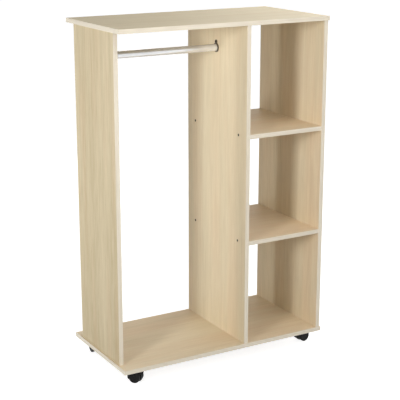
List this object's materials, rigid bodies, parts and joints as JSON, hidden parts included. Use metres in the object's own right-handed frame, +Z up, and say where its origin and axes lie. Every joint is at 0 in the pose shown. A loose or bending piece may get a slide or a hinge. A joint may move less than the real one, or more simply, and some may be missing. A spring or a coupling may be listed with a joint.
{
  "type": "rolling clothes rack",
  "caption": "Open wardrobe on swivel castors: a board carcass with a round hanging rail in the left bay and a column of open shelves on the right.",
  "frame": {"origin": "on the floor, under the middle of the carcass", "axes": "+X to the right seen from the front, +Y to the back, +Z up"},
  "size_m": [0.8, 0.4, 1.2],
  "materials": {
    "board_face": "satin melamine with a fine pale wood grain",
    "board_edging": "satin pale edging strip",
    "rail_chrome": "polished",
    "socket_metal": "polished, a little darker than the rail",
    "dark_screw": "dark bronze plating",
    "fitting_steel": "zinc plated",
    "cover_disc": "matt, the colour of the boards",
    "dowel_wood": "raw beech",
    "castor_hood": "moulded black nylon",
    "castor_wheel": "moulded black nylon"
  },
  "bodies": {
    "frame": {"top_board": "board_face", "top_board_edging": "board_edging", "bottom_board": "board_face", "bottom_board_edging": "board_edging", "left_panel": "board_face", "left_panel_edging": "board_edging", "centre_panel": "board_face", "centre_panel_edging": "board_edging", "right_panel": "board_face", "right_panel_edging": "board_edging", "upper_shelf": "board_face", "upper_shelf_edging": "board_edging", "lower_shelf": "board_face", "lower_shelf_edging": "board_edging", "clothes_rail": "rail_chrome", "left_rail_socket": "socket_metal", "right_rail_socket": "socket_metal", "rail_socket_screws": "dark_screw", "centre_panel_screws": "dark_screw", "right_panel_screws": "dark_screw", "bottom_board_screws": "dark_screw", "cam_discs": "fitting_steel", "cam_bolts": "fitting_steel", "cam_covers": "cover_disc", "wooden_dowels": "dowel_wood", "castor_plate_screws": "fitting_steel", "front_left_castor_plate": "fitting_steel", "front_left_kingpin": "fitting_steel", "front_left_grip_ring": "fitting_steel", "front_right_castor_plate": "fitting_steel", "front_right_kingpin": "fitting_steel", "front_right_grip_ring": "fitting_steel", "back_left_castor_plate": "fitting_steel", "back_left_kingpin": "fitting_steel", "back_left_grip_ring": "fitting_steel", "back_right_castor_plate": "fitting_steel", "back_right_kingpin": "fitting_steel", "back_right_grip_ring": "fitting_steel"},
    "front_left_castor": {"front_left_castor_hood": "castor_hood", "front_left_axle": "fitting_steel"},
    "front_left_castor_left_wheel": {"front_left_left_wheel": "castor_wheel"},
    "front_left_castor_right_wheel": {"front_left_right_wheel": "castor_wheel"},
    "front_right_castor": {"front_right_castor_hood": "castor_hood", "front_right_axle": "fitting_steel"},
    "front_right_castor_left_wheel": {"front_right_left_wheel": "castor_wheel"},
    "front_right_castor_right_wheel": {"front_right_right_wheel": "castor_wheel"},
    "back_left_castor": {"back_left_castor_hood": "castor_hood", "back_left_axle": "fitting_steel"},
    "back_left_castor_left_wheel": {"back_left_left_wheel": "castor_wheel"},
    "back_left_castor_right_wheel": {"back_left_right_wheel": "castor_wheel"},
    "back_right_castor": {"back_right_castor_hood": "castor_hood", "back_right_axle": "fitting_steel"},
    "back_right_castor_left_wheel": {"back_right_left_wheel": "castor_wheel"},
    "back_right_castor_right_wheel": {"back_right_right_wheel": "castor_wheel"}
  },
  "joints": [
    {"name": "front_left_swivel", "type": "hinge", "parent": "frame", "child": "front_left_castor", "pos_m": [-0.346, -0.136, 0.04], "axis": [0, 0, 1], "continuous": true},
    {"name": "front_left_left_wheel_roll", "type": "hinge", "parent": "front_left_castor", "child": "front_left_castor_left_wheel", "pos_m": [-0.3351, -0.15156, 0.021], "axis": [0.8192, 0.5736, 0], "continuous": true},
    {"name": "front_left_right_wheel_roll", "type": "hinge", "parent": "front_left_castor", "child": "front_left_castor_right_wheel", "pos_m": [-0.3351, -0.15156, 0.021], "axis": [0.8192, 0.5736, 0], "continuous": true},
    {"name": "front_right_swivel", "type": "hinge", "parent": "frame", "child": "front_right_castor", "pos_m": [0.346, -0.136, 0.04], "axis": [0, 0, 1], "continuous": true},
    {"name": "front_right_left_wheel_roll", "type": "hinge", "parent": "front_right_castor", "child": "front_right_castor_left_wheel", "pos_m": [0.36471, -0.1327, 0.021], "axis": [-0.1736, 0.9848, 0], "continuous": true},
    {"name": "front_right_right_wheel_roll", "type": "hinge", "parent": "front_right_castor", "child": "front_right_castor_right_wheel", "pos_m": [0.36471, -0.1327, 0.021], "axis": [-0.1736, 0.9848, 0], "continuous": true},
    {"name": "back_left_swivel", "type": "hinge", "parent": "frame", "child": "back_left_castor", "pos_m": [-0.346, 0.136, 0.04], "axis": [0, 0, 1], "continuous": true},
    {"name": "back_left_left_wheel_roll", "type": "hinge", "parent": "back_left_castor", "child": "back_left_castor_left_wheel", "pos_m": [-0.34434, 0.15493, 0.021], "axis": [-0.9962, 0.0872, 0], "continuous": true},
    {"name": "back_left_right_wheel_roll", "type": "hinge", "parent": "back_left_castor", "child": "back_left_castor_right_wheel", "pos_m": [-0.34434, 0.15493, 0.021], "axis": [-0.9962, 0.0872, 0], "continuous": true},
    {"name": "back_right_swivel", "type": "hinge", "parent": "frame", "child": "back_right_castor", "pos_m": [0.346, 0.136, 0.04], "axis": [0, 0, 1], "continuous": true},
    {"name": "back_right_left_wheel_roll", "type": "hinge", "parent": "back_right_castor", "child": "back_right_castor_left_wheel", "pos_m": [0.3365, 0.15245, 0.021], "axis": [-0.866, -0.5, 0], "continuous": true},
    {"name": "back_right_right_wheel_roll", "type": "hinge", "parent": "back_right_castor", "child": "back_right_castor_right_wheel", "pos_m": [0.3365, 0.15245, 0.021], "axis": [-0.866, -0.5, 0], "continuous": true}
  ]
}
